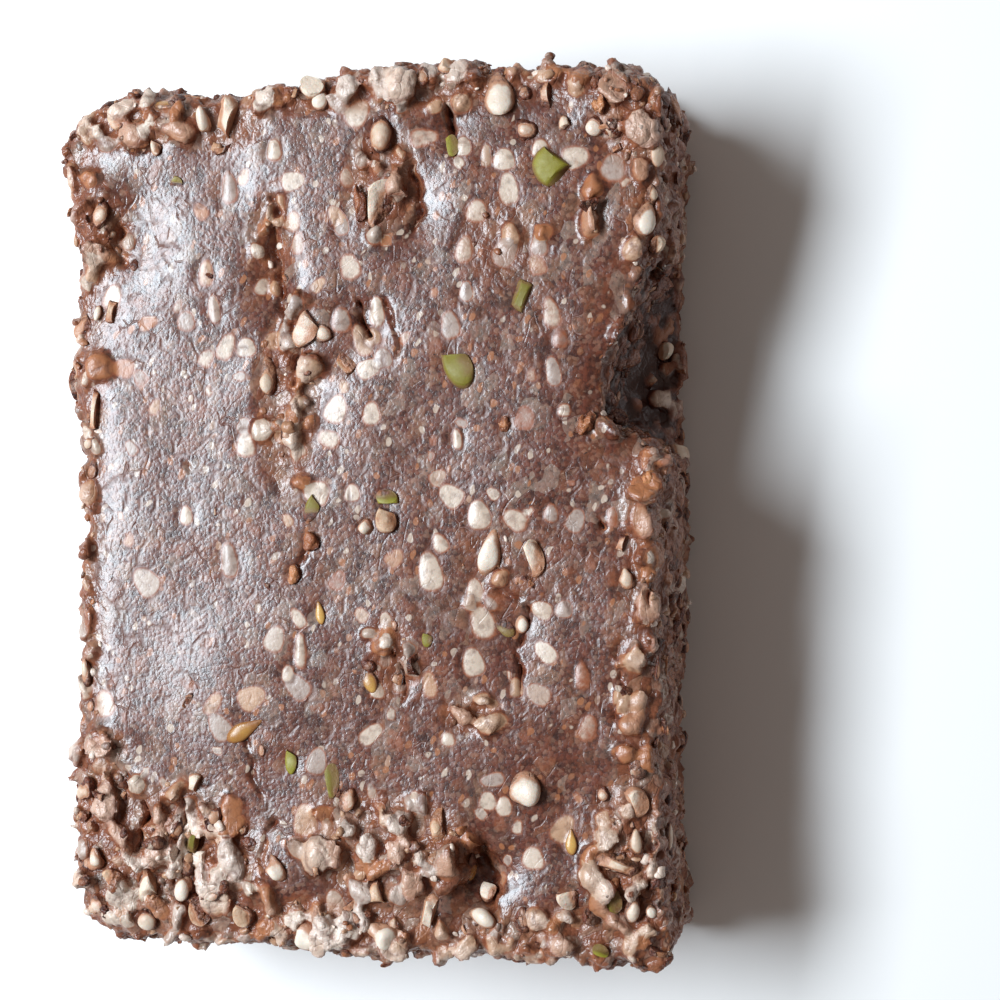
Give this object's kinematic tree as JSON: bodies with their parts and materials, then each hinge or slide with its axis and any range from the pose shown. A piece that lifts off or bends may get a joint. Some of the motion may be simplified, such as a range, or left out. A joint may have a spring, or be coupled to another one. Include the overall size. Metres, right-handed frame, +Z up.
{
  "type": "raw brownie bar",
  "caption": "Rectangular bar of pressed date and cocoa brownie with chopped nuts and seeds, lying flat, crumbled along its edges.",
  "frame": {"origin": "centre of the bounding box in plan, on the flat underside", "axes": "+X across the bar, towards its crumbled long side, +Y along the bar, towards the back end in the picture, +Z up"},
  "size_m": [0.0654, 0.0926, 0.0237],
  "materials": {
    "dough": "moist pressed date and cocoa dough, semi-matt with small glints, full of cream, tan and green bits of nut and seed",
    "nut": "chopped nut, cream to tan with orange-brown stains of the dough, satin",
    "pale_seed": "hulled pale seed, ivory, slightly translucent, satin",
    "pumpkin_seed": "bit of green pumpkin seed, smooth and satin",
    "flax": "golden flax seed, smooth and glossy",
    "date": "bit of date, orange to red-brown, moist and translucent"
  },
  "bodies": {
    "root": {"brownie": "dough"}
  },
  "joints": []
}
